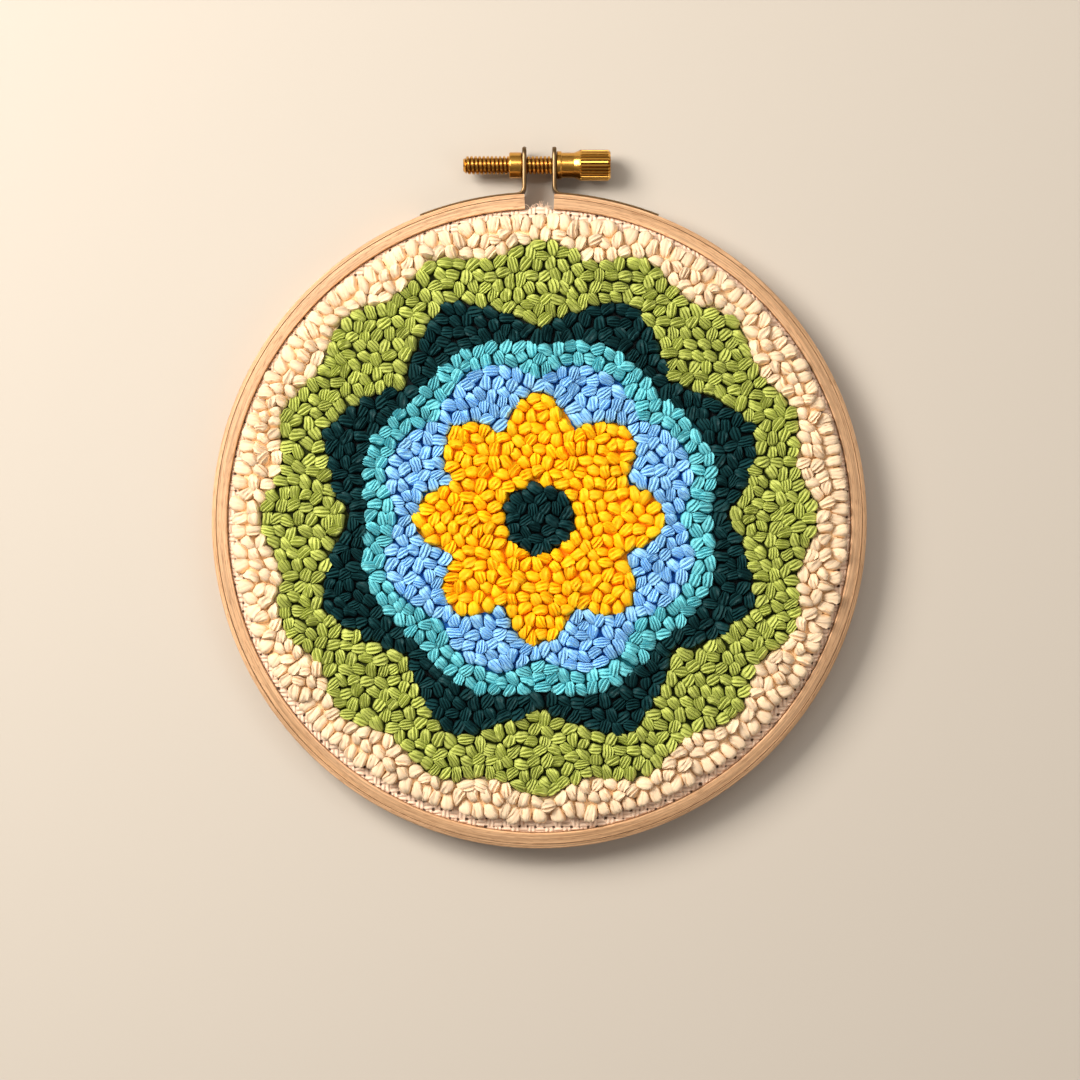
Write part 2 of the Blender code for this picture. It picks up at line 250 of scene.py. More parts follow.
def weave_material():
    """The basket weave on Object coordinates, with the pairs of threads raised, painted shade on their low
    sides, and the holes painted dark as the shade seen through them.
    """
    material, tree, shader = new_material("basket_cotton", Roughness=0.95, Specular_IOR_Level=0.2,
                                          Sheen_Weight=0.25)
    at = add_node(tree, "ShaderNodeTexCoord").outputs["Object"]
    wobble = add_node(tree, "ShaderNodeTexNoise", None, Vector=at, Scale=130.0, Detail=2.0)
    shift = add_node(tree, "ShaderNodeVectorMath", {"operation": "SCALE"}, i0=wobble.outputs["Color"],
                     Scale=1.3 * MM)
    moved = add_node(tree, "ShaderNodeVectorMath", {"operation": "ADD"}, i0=at, i1=shift.outputs[0])
    cells = add_node(tree, "ShaderNodeVectorMath", {"operation": "SCALE"}, i0=moved.outputs[0],
                     Scale=1 / WEAVE_PITCH)
    place = add_node(tree, "ShaderNodeSeparateXYZ", None, Vector=cells.outputs[0])
    across = {}
    ridge = {}
    for axis in ("X", "Y"):
        fraction = calculate(tree, "FRACT", place.outputs[axis])
        centred = calculate(tree, "ABSOLUTE", calculate(tree, "SUBTRACT", fraction, 0.5))
        across[axis] = calculate(tree, "MULTIPLY", centred, 2.0)
        wave = calculate(tree, "SINE", calculate(tree, "MULTIPLY", place.outputs[axis], 2 * math.pi))
        ridge[axis] = calculate(tree, "ABSOLUTE", wave)
    parity = calculate(tree, "ADD", calculate(tree, "FLOOR", place.outputs["X"]),
                       calculate(tree, "FLOOR", place.outputs["Y"]))
    odd = calculate(tree, "PINGPONG", parity, 1.0)
    heights = {}
    for axis, other in (("X", "Y"), ("Y", "X")):
        fall = calculate(tree, "POWER", across[other], 2.0)
        keep = calculate(tree, "SUBTRACT", 1.0, calculate(tree, "MULTIPLY", fall, 0.7))
        heights[axis] = calculate(tree, "MULTIPLY", ridge[axis], keep)
    threads = add_node(tree, "ShaderNodeMix", None, i0=odd, i2=heights["X"], i3=heights["Y"]).outputs[0]
    nearest = calculate(tree, "MINIMUM", across["X"], across["Y"])
    uneven = add_node(tree, "ShaderNodeTexNoise", None, Vector=at, Scale=420.0, Detail=1.0).outputs[0]
    ragged = calculate(tree, "ADD", nearest, calculate(tree, "MULTIPLY", uneven, 0.9))
    hole = rescale(tree, ragged, 1.17, 1.33)
    height = calculate(tree, "SUBTRACT", threads, calculate(tree, "MULTIPLY", hole, 1.5))
    # Painted shade on the low sides of the threads, between the raised pairs.
    lit = blend_colours(tree, rescale(tree, threads, 0.0, 0.7, 0.35), CLOTH_PAINTED_SHADE, CLOTH_COLOUR)
    # The holes are only sunk by bump, so the shade seen through them is painted dark.
    final = blend_colours(tree, hole, lit, HOLE_PAINTED_SHADE)
    tree.links.new(final, shader.inputs["Base Color"])
    raise_surface(tree, shader, height, 0.9, 0.4 * MM)
    return material


def turned(section, steps, closed):
    """A section of (radius, height) points spun about Z; one that isn't closed ends on the axis."""
    bm = bmesh.new()
    points = [bm.verts.new((radius, 0, height)) for radius, height in section]
    following = points[1:] + points[:1] if closed else points[1:]
    for one, other in zip(points, following):
        bm.edges.new((one, other))
    bmesh.ops.spin(bm, geom=points + bm.edges[:], cent=(0, 0, 0), axis=(0, 0, 1), angle=2 * math.pi,
                   steps=steps, use_merge=True)
    bmesh.ops.remove_doubles(bm, verts=bm.verts, dist=MM / 1000)
    bmesh.ops.recalc_face_normals(bm, faces=bm.faces)
    return bm


def split_bulge(across):
    """How far the cloth's edge swells into the hoop's split, at a place across it."""
    return SPLIT_BULGE * math.cos(math.pi / 2 * across / SPLIT_HALF_WIDTH) ** 2


cloth_turn = 0.6 * MM
cloth_inside = CLOTH_RADIUS - CLOTH_THICKNESS
cloth_section = [
    (0, cloth_high[2]),
    (CLOTH_RADIUS * 0.9, cloth_high[2]),
    *arc((CLOTH_RADIUS - cloth_turn, cloth_high[2] - cloth_turn), cloth_turn, 90, 0),
    (CLOTH_RADIUS, cloth_high[2] / 2),
    (CLOTH_RADIUS, cloth_low[2]),
    (cloth_inside, cloth_low[2]),
    (cloth_inside, cloth_high[2] - CLOTH_THICKNESS),
    (0, cloth_high[2] - CLOTH_THICKNESS),
]
cloth_mesh = turned(cloth_section, CLOTH_STEPS, closed=False)
for vert in cloth_mesh.verts:
    reach = math.hypot(vert.co.x, vert.co.y)
    if vert.co.y > 0 and abs(vert.co.x) < SPLIT_HALF_WIDTH and reach > CLOTH_RADIUS - cloth_turn:
        vert.co.y += split_bulge(vert.co.x)
bmesh.ops.translate(cloth_mesh, verts=cloth_mesh.verts, vec=HOOP)
cloth = make_piece("cloth", cloth_mesh, weave_material())
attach(cloth, "hoop")
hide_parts("backing_cloth")

# Frayed fibres
# Loose cotton fibres that curl up from the cloth in the hoop's split, where no wood holds it down.
# Each is a thin strand with a root inside the cloth.
FIBRES = 34
FIBRE_RADIUS = 0.05 * MM
FIBRE_CURL = 1.6 * MM
FIBRE_ROOT = 0.25 * MM
fray_draw = random.Random(5)
fray = bmesh.new()
for _ in range(FIBRES):
    already = len(fray.verts)
    ring = bmesh.ops.create_circle(fray, segments=4, radius=FIBRE_RADIUS)["verts"]
    rim = list({edge for vert in ring for edge in vert.link_edges})
    bmesh.ops.contextual_create(fray, geom=rim)
    curled = bmesh.ops.spin(fray, geom=ring + rim, cent=(FIBRE_CURL, 0, 0), axis=(0, 1, 0),
                            angle=fray_draw.uniform(0.4, 1.3), steps=4)
    last_rim = [part for part in curled["geom_last"] if isinstance(part, bmesh.types.BMEdge)]
    bmesh.ops.contextual_create(fray, geom=last_rim)
    fray.verts.ensure_lookup_table()
    heading = Vector((fray_draw.gauss(0, 0.5), 1, fray_draw.uniform(-0.1, 0.7)))
    aim = heading.to_track_quat("Z", "X").to_matrix() @ Matrix.Rotation(fray_draw.uniform(0, 6.28), 3, "Z")
    across = fray_draw.uniform(-0.85, 0.85) * SPLIT_HALF_WIDTH
    depth = fray_draw.uniform(0.1, 0.9) * MM
    out = CLOTH_RADIUS + split_bulge(across) - FIBRE_ROOT
    root = HOOP + Vector((across, out, cloth_high[2] - depth))
    bmesh.ops.transform(fray, verts=fray.verts[already:], matrix=Matrix.Translation(root) @ aim.to_4x4())
bmesh.ops.recalc_face_normals(fray, faces=fray.faces)
fibre_finish, _, _ = new_material("loose_cotton", Base_Color=CLOTH_COLOUR, Roughness=0.9)
frayed = make_piece("frayed_fibres", fray, fibre_finish)
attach(frayed, "hoop")

# Yarn pile
# Loops of soft plied yarn, punched through the cloth from behind, one colour in each field of the
# rosette. They stand shoulder to shoulder, and each is pressed into the room that the others leave.
PILE_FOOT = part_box("yarn_cream")[0][2]
PILE_CENTRE = HOOP + Vector((0, 0.6 * MM, 0))
BED_HEIGHT = 1.3 * MM
BED_INSET = 1.6 * MM
RIM_ROW = 2.6 * MM
RIM_OVERHANG = (0.3 * MM, 1.1 * MM)
LOBES = 8
HALF_LOBE = math.pi / LOBES
BAND_STEPS = 192
PILE_REACH = 75 * MM
LOOP_PITCH = 3.25 * MM
PLACE_JITTER = 0.8 * MM
EDGE_INSET = 1.4 * MM
RELAX_ROUNDS = 7
NEAREST_LOOP = 2.0 * MM
WIDEST_GAP = 2.2 * MM
GAP_STEP = 0.9 * MM
LOOP_HEIGHT = 4.0 * MM
LOOSE_REACH = 2.4 * MM
LOOP_LINES = (-1, -0.88, -0.5, 0, 0.5, 0.88, 1)
STRAND_SPAN = 0.95
FLANK = 0.88
LOOP_FULLNESS = 14
LONG_SHARE = 0.15
PUSH_SHARE = 0.3
PRESS_POWER = 10
RIM_PRESS_POWER = 5
LOOP_STRETCH = 1.04
RIM_STRETCH = 1.11
LOOP_TURN = 0.6
RIM_TURN = 0.4
LOOP_RISE = (0.88, 1.04)
RIM_RISE = 0.7
LOOP_LEAN = 0.3
RIM_LEAN = 0.3 * MM
draw = random.Random(11)


def scallop(angle, turn=0.0):
    """Round lobes, 1 at each lobe's top and near 0 in the dips between."""
    return math.sqrt(math.cos(LOBES * (angle - turn) / 2) ** 2 + 0.03)


def leaf(angle, turn):
    """Pointed leaves, 1 at each tip and 0 where two of them meet."""
    place = ((angle - turn) * LOBES / (2 * math.pi)) % 1.0
    return (1 - 2 * min(place, 1 - place)) ** 0.9


# field, lit colour, painted crevice shade (taken low down between loops and in the furrows; deep and
# saturated in most yarns, in the cream lighter than the lit colour as painted bounce light), plies in a
# loop, furrow depth in mm and the outer edge's radius in mm at an angle
FIELDS = [
    ("seed", (0.005, 0.042, 0.048), (0.0005, 0.005, 0.008), (3, 4), 0.36, lambda a: 8.6),
    ("gold", (1.0, 0.505, 0.003), (1.0, 0.40, 0.001), (2, 3), 0.27,
     lambda a: 21.5 + 9.0 * scallop(a)),
    ("blue", (0.30, 0.615, 0.945), (0.005, 0.13, 0.48), (3, 4), 0.36,
     lambda a: 33.4 + 5.8 * scallop(a, HALF_LOBE)),
    ("turquoise", (0.165, 0.605, 0.69), (0.0005, 0.13, 0.17), (3, 4), 0.36,
     lambda a: 41.6 + 3.2 * scallop(a, HALF_LOBE)),
    ("teal", (0.005, 0.042, 0.048), (0.0005, 0.005, 0.008), (3, 4), 0.36,
     lambda a: 45.6 + 11.4 * leaf(a, HALF_LOBE)),
    ("lime", (0.475, 0.535, 0.125), (0.035, 0.048, 0.001), (3, 4), 0.36,
     lambda a: 66.0 + 1.8 * math.cos(2 * LOBES * a)),
    ("cream", (0.82, 0.625, 0.435), (0.97, 0.72, 0.44), (2, 3), 0.20,
     lambda a: 73.8 + 0.45 * math.cos(2 * a)),
]
EDGES = [None] + [field[-1] for field in FIELDS]


def yarn_material(name, lit, painted_crevice_shade):
    """Plied yarn: furrows between the plies by the loop's own UV map, with painted shade low down between
    loops and in the furrows.
    """
    material, tree, shader = new_material(name, Roughness=0.6, Specular_IOR_Level=0.2)
    strand = add_node(tree, "ShaderNodeUVMap", {"uv_map": "strand"}).outputs[0]
    across = add_node(tree, "ShaderNodeSeparateXYZ", None, Vector=strand).outputs["Y"]
    wave = calculate(tree, "SINE", calculate(tree, "MULTIPLY", across, math.pi))
    round_ply = calculate(tree, "POWER", calculate(tree, "ABSOLUTE", wave), 0.6)
    fibre_at = add_node(tree, "ShaderNodeMapping", None, Vector=strand, Scale=(2.2, 7.0, 1.0))
    fibre = add_node(tree, "ShaderNodeTexNoise", None, Vector=fibre_at.outputs[0], Scale=1.6, Detail=3.0)
    height = add_node(tree, "ShaderNodeAttribute", {"attribute_name": "height"}).outputs["Fac"]
    depth = add_node(tree, "ShaderNodeMapRange", {"interpolation_type": "SMOOTHSTEP"}, Value=height,
                     From_Min=0.35, From_Max=0.86).outputs[0]
    # Painted shade: low down on each loop, by its height attribute, and in the furrows between the plies
    # the colour turns to the painted crevice shade.
    share = calculate(tree, "MULTIPLY", depth, rescale(tree, round_ply, 0.1, 0.6, 0.35))
    tone = add_node(tree, "ShaderNodeAttribute", {"attribute_name": "tone"}).outputs["Fac"]
    bright = rescale(tree, tone, 0.0, 1.0, 0.86, 1.08)
    fleck = rescale(tree, fibre.outputs[0], 0.3, 0.7, 0.90, 1.08)
    colour = blend_colours(tree, share, (*painted_crevice_shade, 1), (*lit, 1))
    final = add_node(tree, "ShaderNodeVectorMath", {"operation": "SCALE"}, i0=colour,
                     Scale=calculate(tree, "MULTIPLY", bright, fleck))
    tree.links.new(final.outputs[0], shader.inputs["Base Color"])
    relief = calculate(tree, "ADD", round_ply, calculate(tree, "MULTIPLY", fibre.outputs[0], 0.35))
    raise_surface(tree, shader, relief, 0.6, 0.16 * MM)
    return material


def rounded_square(along, across):
    """A place in a square from -1 to 1, moved to the like place in a circle."""
    return along * math.sqrt(1 - across ** 2 / 2), across * math.sqrt(1 - along ** 2 / 2)


def loop_form(plies, slant, furrow_mm):
    """One loop of radius and height 1: strands side by side, drawing together at both ends."""
    lifts = [draw.gauss(0, 0.025) for _ in range(2 * plies + 3)]
    lines = [(line - plies) / plies * STRAND_SPAN for line in range(1, 2 * plies)]
    lines = [-1, -0.9, *lines, 0.9, 1]
    bm = bmesh.new()
    strand = bm.loops.layers.uv.new("strand")
    height = bm.verts.layers.float.new("height")
    bm.verts.layers.float.new("tone")
    bmesh.ops.create_grid(bm, x_segments=len(LOOP_LINES) - 1, y_segments=len(lines) - 1, size=1.0,
                          calc_uvs=True)
    spots = {}
    for vert in bm.verts:
        column = round((vert.co.x + 1) / 2 * (len(LOOP_LINES) - 1))
        row = round((vert.co.y + 1) / 2 * (len(lines) - 1))
        spots[vert] = (LOOP_LINES[column], lines[row], row)
    for face in bm.faces:
        for corner in face.loops:
            along, across, _ = spots[corner.vert]
            corner[strand].uv = (along / 2 + 0.5, (across / STRAND_SPAN + 1) / 2 * plies)
    for vert in bm.verts:
        along, across, row = spots[vert]
        furrow = row % 2 == 1 and abs(across) < FLANK
        out = min(math.hypot(*rounded_square(along, across)), 1)
        drawn_in = across * (1 - 0.4 * along ** 2) + slant * along * (1 - across ** 2)
        side = Vector((*rounded_square(along, drawn_in), 0))
        crest = 0 if abs(across) > FLANK else (-1 if furrow else 1) * furrow_mm * MM / LOOP_HEIGHT
        fullness = 1 - out ** LOOP_FULLNESS
        # The height attribute is read by the yarn material: the lower it is, the more painted crevice shade
        # the loop takes.
        vert[height] = 0.2 + 0.8 * fullness ** 0.6 - 0.10 * along ** 2 * fullness
        pulled = 0.93 if furrow and out > 0.9 else 1.0
        vert.co = side.normalized() * out * pulled
        vert.co.z = vert[height] + crest * (1 - 0.5 * out ** 4) + (0 if out > 0.95 else lifts[row])
    rim = [edge for edge in bm.edges if edge.is_boundary]
    bmesh.ops.contextual_create(bm, geom=rim)
    bmesh.ops.recalc_face_normals(bm, faces=bm.faces)
    mesh = bpy.data.meshes.new("loop_form")
    bm.to_mesh(mesh)
    bm.free()
    return mesh


def edge_radius(edge, angle):
    """The radius of a field's edge at an angle, or 0 for the middle."""
    return edge(angle) * MM if edge else 0.0


def field_at(point):
    """The number of the field that a point lies in, or None beyond the last one."""
    radius, angle = point.length, math.atan2(point.y, point.x)
    inside = [number for number, field in enumerate(FIELDS) if radius < edge_radius(field[-1], angle)]
    return min(inside, default=None)


def keep_inside(point, number):
    """Moves a point in or out to where a loop has room between its field's two edges."""
    radius, angle = point.length, math.atan2(point.y, point.x)
    limits = []
    for edge, sign in ((EDGES[number], 1), (EDGES[number + 1], -1)):
        slope = (edge(angle + 0.01) - edge(angle - 0.01)) / 0.02 / edge(angle) if edge else 0.0
        limits.append(edge_radius(edge, angle) + sign * EDGE_INSET * math.hypot(1, slope) * bool(edge))
    low, high = limits
    settled = (low + high) / 2 if low > high else min(max(radius, low), high)
    return point * (settled / radius) if radius else point


def neighbours(places):
    """An index of the loops' places, in which each one's nearest are found."""
    index = kdtree.KDTree(len(places))
    for number, (point, _) in enumerate(places):
        index.insert(point.to_3d(), number)
    index.balance()
    return index


def loop_places():
    """Where the loops come up, with the number of each one's field."""
    places = []
    row_gap = LOOP_PITCH * math.sqrt(3) / 2
    rows = math.ceil(PILE_REACH / row_gap)
    for row in range(-rows, rows + 1):
        for column in range(-rows, rows + 1):
            point = Vector(((column + row % 2 / 2) * LOOP_PITCH + draw.gauss(0, PLACE_JITTER),
                            row * row_gap + draw.gauss(0, PLACE_JITTER)))
            number = field_at(point)
            if number is not None:
                places.append((keep_inside(point, number), number))
    for _ in range(RELAX_ROUNDS):
        index = neighbours(places)
        for own, (point, number) in enumerate(places):
            push = Vector((0, 0))
            for _, other, distance in index.find_n(point.to_3d(), 7)[1:]:
                if 0 < distance < LOOP_PITCH:
                    push += (point - places[other][0]).normalized() * (LOOP_PITCH - distance)
            places[own] = (keep_inside(point + push * PUSH_SHARE, number), number)
    index = neighbours(places)
    kept = []
    for own, (point, number) in enumerate(places):
        close = [other for _, other, _ in index.find_range(point.to_3d(), NEAREST_LOOP) if other < own]
        if not close:
            kept.append((point, number))
    index = neighbours(kept)
    for row in range(-rows * 4, rows * 4 + 1):
        for column in range(-rows * 4, rows * 4 + 1):
            point = Vector((column, row)) * GAP_STEP
            number = field_at(point)
            if number is None:
                continue
            point = keep_inside(point, number)
            if index.find(point.to_3d())[2] > WIDEST_GAP:
                kept.append((point, number))
                index = neighbours(kept)
    return kept


def pressed_reach(point, others, power):
    """How far a loop reaches each way: halfway to its neighbours, and a little more where it's free."""
    walls = [(other - point) * 2 / (other - point).length_squared for other in others]

    def reach(direction):
        total = LOOSE_REACH ** -power + sum(max(wall.dot(direction), 0) ** power for wall in walls)
        return total ** (-1 / power)

    return reach


def field_bed(inner_edge, outer_edge):
    """The low bed of yarn under a field's loops, coloured all over in the painted crevice shade."""
    bm = bmesh.new()
    for edge in (inner_edge, outer_edge):
        if edge is None:
            continue
        ring = bmesh.ops.create_circle(bm, segments=BAND_STEPS, radius=1.0)
        for vert in ring["verts"]:
            angle = math.atan2(vert.co.y, vert.co.x)
            radius = edge_radius(edge, angle) - (BED_INSET if edge is EDGES[-1] else 0)
            vert.co = (radius * math.cos(angle), radius * math.sin(angle), PILE_FOOT)
    if inner_edge:
        bmesh.ops.bridge_loops(bm, edges=bm.edges[:])
    else:
        bmesh.ops.contextual_create(bm, geom=bm.edges[:])
    raised = bmesh.ops.extrude_face_region(bm, geom=bm.faces[:])
    top = [part for part in raised["geom"] if isinstance(part, bmesh.types.BMVert)]
    bmesh.ops.translate(bm, verts=top, vec=(0, 0, BED_HEIGHT))
    bmesh.ops.recalc_face_normals(bm, faces=bm.faces)
    bm.loops.layers.uv.new("strand")
    # Its height attribute stays 0, so the whole bed takes the painted crevice shade.
    bm.verts.layers.float.new("height")
    bm.verts.layers.float.new("tone")
    return bm


def stitch_form():
    """One flat stitch of length and width 2 and height 1, hanging from the reverse of the cloth."""
    bm = bmesh.new()
    strand = bm.loops.layers.uv.new("strand")
    height = bm.verts.layers.float.new("height")
    bm.verts.layers.float.new("tone")
    bmesh.ops.create_grid(bm, x_segments=4, y_segments=4, size=1.0, calc_uvs=True)
    for face in bm.faces:
        for corner in face.loops:
            corner[strand].uv = (corner.vert.co.x / 2 + 0.5, (corner.vert.co.y + 1) * 1.5)
    for vert in bm.verts:
        along, across = vert.co.x, vert.co.y
        side = Vector(rounded_square(along, across))
        swell = math.sqrt(max(1 - side.length_squared, 0))
        # The height attribute falls towards the stitch's edges, where the yarn material paints shade.
        vert[height] = 0.3 + 0.7 * swell
        vert.co = (side.x, side.y, -swell)
    rim = [edge for edge in bm.edges if edge.is_boundary]
    bmesh.ops.contextual_create(bm, geom=rim)
    bmesh.ops.recalc_face_normals(bm, faces=bm.faces)
    mesh = bpy.data.meshes.new("stitch_form")
    bm.to_mesh(mesh)
    bm.free()
    return mesh


def stitch_ends(number):
    """Pairs of a field's loops that one flat stitch joins behind the cloth, each to its nearest left."""
    waiting = [point for point, owner in places
               if owner == number and (point.to_3d() + PILE_CENTRE - HOOP).length < inner_inside]
    point = waiting.pop(0)
    while waiting:
        following = min(waiting, key=lambda other: (other - point).length_squared)
        waiting.remove(following)
        if (following - point).length < LONGEST_STITCH:
            yield point, following
        point = following


SLANTS = (-0.05, 0.08, 0.2, 0.34)
STITCH_FACE = cloth_high[2] - CLOTH_THICKNESS
STITCH_HEIGHT = 0.45 * MM
STITCH_HALF_WIDTH = 1.15 * MM
STITCH_OVERLAP = 0.7 * MM
STITCH_SEAT = 0.02 * MM
LONGEST_STITCH = 7.0 * MM
reverse_stitch = stitch_form()
places = loop_places()
near = neighbours(places)
for number, (field, lit, painted_crevice_shade, plies, furrow_mm, _) in enumerate(FIELDS):
    loop_forms = [loop_form(count, slant, furrow_mm) for count in plies for slant in SLANTS]
    pile = field_bed(EDGES[number], EDGES[number + 1])
    for point in [point for point, owner in places if owner == number]:
        already = len(pile.verts)
        pile.from_mesh(draw.choice(loop_forms))
        pile.verts.ensure_lookup_table()
        tone_layer = pile.verts.layers.float["tone"]
        others = [places[other][0] for _, other, _ in near.find_n(point.to_3d(), 10)[1:]]
        outward = point.normalized()
        to_rim = edge_radius(EDGES[-1], math.atan2(point.y, point.x)) - point.length
        at_rim = to_rim < RIM_ROW
        if at_rim:
            others.append(point + outward * 2 * (to_rim + draw.uniform(*RIM_OVERHANG)))
        reach = pressed_reach(point, others, RIM_PRESS_POWER if at_rim else PRESS_POWER)
        turns = [turn / 12 * math.pi for turn in range(12)]
        widest = max(turns, key=lambda turn: reach(Vector((math.cos(turn), math.sin(turn))))
                     + reach(Vector((-math.cos(turn), -math.sin(turn)))))
        if at_rim:
            turn = math.atan2(outward.y, outward.x) + draw.gauss(0, RIM_TURN)
        else:
            turn = widest + draw.gauss(0, LOOP_TURN)
        rise = draw.uniform(*LOOP_RISE) * (RIM_RISE if at_rim else 1.0) * LOOP_HEIGHT
        lean = Vector((draw.gauss(0, LOOP_LEAN), draw.gauss(0, LOOP_LEAN))) * MM
        if at_rim:
            lean += outward * RIM_LEAN
        tone = draw.random()
        spin = Matrix.Rotation(turn, 2)
        for vert in pile.verts[already:]:
            flat = spin @ vert.co.xy
            out = flat.length
            if out > 0:
                stretch = RIM_STRETCH if at_rim else LOOP_STRETCH
                flat = flat * reach(flat / out) * (stretch + LONG_SHARE * (2 * (vert.co.x / out) ** 2 - 1))
            up = max(vert.co.z, 0) ** 2
            vert.co = (point + flat + lean * up).to_3d() + Vector((0, 0, PILE_FOOT + vert.co.z * rise))
            vert[tone_layer] = tone
    for start, end in stitch_ends(number):
        already = len(pile.verts)
        pile.from_mesh(reverse_stitch)
        pile.verts.ensure_lookup_table()
        tone_layer = pile.verts.layers.float["tone"]
        tone = draw.random()
        spin = Matrix.Rotation(math.atan2(end.y - start.y, end.x - start.x), 2)
        half_length = (end - start).length / 2 + STITCH_OVERLAP
        for vert in pile.verts[already:]:
            flat = spin @ Vector((vert.co.x * half_length, vert.co.y * STITCH_HALF_WIDTH))
            drop = STITCH_FACE - STITCH_SEAT + vert.co.z * STITCH_HEIGHT * (0.85 + 0.15 * tone)
            vert.co = ((start + end) / 2 + flat).to_3d() + Vector((0, 0, drop))
            vert[tone_layer] = tone
    bmesh.ops.translate(pile, verts=pile.verts, vec=PILE_CENTRE)
    loops = make_piece(f"pile_{field}", pile, yarn_material(f"yarn_{field}", lit, painted_crevice_shade), sharp_deg=80)
    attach(loops, "hoop")
    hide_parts(f"yarn_{field}")

# Outer hoop
# A wider beech strip in two glued layers, bent round the cloth and left open at the top, where the
# screw draws it tight. Its front slopes a little outwards, and its outer corners are rounded.
OUTER_RADIUS = OUTER_INSIDE + OUTER_WALL
OUTER_TOP = outer_high[2]
SPLIT_WIDTH = 7.0 * MM
SHOULDER = 0.7 * MM
INNER_CORNER = 0.3 * MM
CROWN = 0.95 * MM
OUTER_DROP = 0.35 * MM
GLUE_LINE = 1.13 * MM
GLUE_DEPTH = 0.26 * MM
GLUE_HALF_WIDTH = 0.13 * MM
outer_section = [
    *arc((OUTER_INSIDE + INNER_CORNER, INNER_CORNER), INNER_CORNER, 180, 270, 3),
    *arc((OUTER_RADIUS - SHOULDER, SHOULDER), SHOULDER, 270, 360),
    *arc((OUTER_RADIUS - SHOULDER, OUTER_TOP - OUTER_DROP - SHOULDER), SHOULDER, 0, 65),
    (OUTER_RADIUS - GLUE_LINE + GLUE_HALF_WIDTH, OUTER_TOP - 0.03 * MM),
    (OUTER_RADIUS - GLUE_LINE, OUTER_TOP - GLUE_DEPTH),
    (OUTER_RADIUS - GLUE_LINE - GLUE_HALF_WIDTH, OUTER_TOP + 0.08 * MM),
    *arc((OUTER_INSIDE + INNER_CORNER, OUTER_TOP + CROWN - INNER_CORNER), INNER_CORNER, 78, 180, 3),
]
outer_ring = make_piece("outer_ring", bent_strip(outer_section, SPLIT_WIDTH), wood)
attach(outer_ring, "hoop")
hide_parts("outer_hoop")

# Lugs
# Two strips of plated steel, each bent out at a right angle, thinned to a foot along the outer
# hoop and drilled for the screw. Their edges are tumbled round and their top corners cut round, and
# two tacks hold each foot to the wood.
LUG_COLOUR = (0.21, 0.135, 0.066, 1)
lug_low, lug_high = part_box("lug_right")
LUG_THICKNESS = 1.05 * MM
LUG_CORNER = 2.6 * MM
CORNER_SHARES = (0, 0.02, 0.06, 0.12, 0.2, 0.32, 0.48, 0.7, 1)
LUG_EDGE = 0.42 * MM
BEND_RADIUS = 1.75 * MM
BEND_STEPS = 10
FOOT_THICKNESS = 0.42 * MM
FOOT_LIFT = 0.03 * MM
FOOT_SWEEP_DEG = 17.5
FOOT_STEPS = 12
HOLE_RADIUS = 2.6 * MM
DRILL_LENGTH = 20 * MM
TACK_PLACES_DEG = (8.5, 16.3)
TACK_RADIUS = 0.85 * MM
TACK_RISE = 0.32 * MM
AXIS = Vector((0, *((low + high) / 2 for low, high in list(zip(*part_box("thumbscrew")))[1:])))


def nickel_material():
    """Plated steel, brushed along the strip."""
    material, tree, shader = new_material("plated_steel", Metallic=1.0, Roughness=0.3,
                                          Base_Color=LUG_COLOUR)
    at = add_node(tree, "ShaderNodeTexCoord").outputs["Object"]
    lines = stretched_noise(tree, at, (900, 900, 90), 4.0)
    tree.links.new(rescale(tree, lines, 0.0, 1.0, 0.26, 0.46), shader.inputs["Roughness"])
    raise_surface(tree, shader, lines, 0.2, 0.03 * MM)
    return material


def strap_stations():
    """Down the upright, round the bend and along the foot: place, way across, half thickness."""
    middle_x = lug_low[0] + LUG_THICKNESS / 2
    foot_radius = OUTER_RADIUS + FOOT_LIFT + FOOT_THICKNESS / 2
    bend_x = middle_x + BEND_RADIUS
    bend_y = math.sqrt((foot_radius + BEND_RADIUS) ** 2 - bend_x ** 2)
    top = lug_high[1] - HOOP.y
    stations = []
    for share in CORNER_SHARES:
        stations.append((Vector((middle_x, top - share * LUG_CORNER)), Vector((1, 0)), LUG_THICKNESS / 2))
    last_bend = math.pi + math.atan2(bend_y, bend_x)
    for step in range(BEND_STEPS + 1):
        angle = math.pi + (last_bend - math.pi) * step / BEND_STEPS
        inward = -Vector((math.cos(angle), math.sin(angle)))
        thickness = LUG_THICKNESS + (FOOT_THICKNESS - LUG_THICKNESS) * step / BEND_STEPS
        stations.append((Vector((bend_x, bend_y)) - inward * BEND_RADIUS, inward, thickness / 2))
    first_foot = math.atan2(bend_x, bend_y)
    for step in range(1, FOOT_STEPS + 1):
        angle = first_foot + math.radians(FOOT_SWEEP_DEG) * step / FOOT_STEPS
        outward = Vector((math.sin(angle), math.cos(angle)))
        stations.append((outward * foot_radius, outward, FOOT_THICKNESS / 2))
    return stations


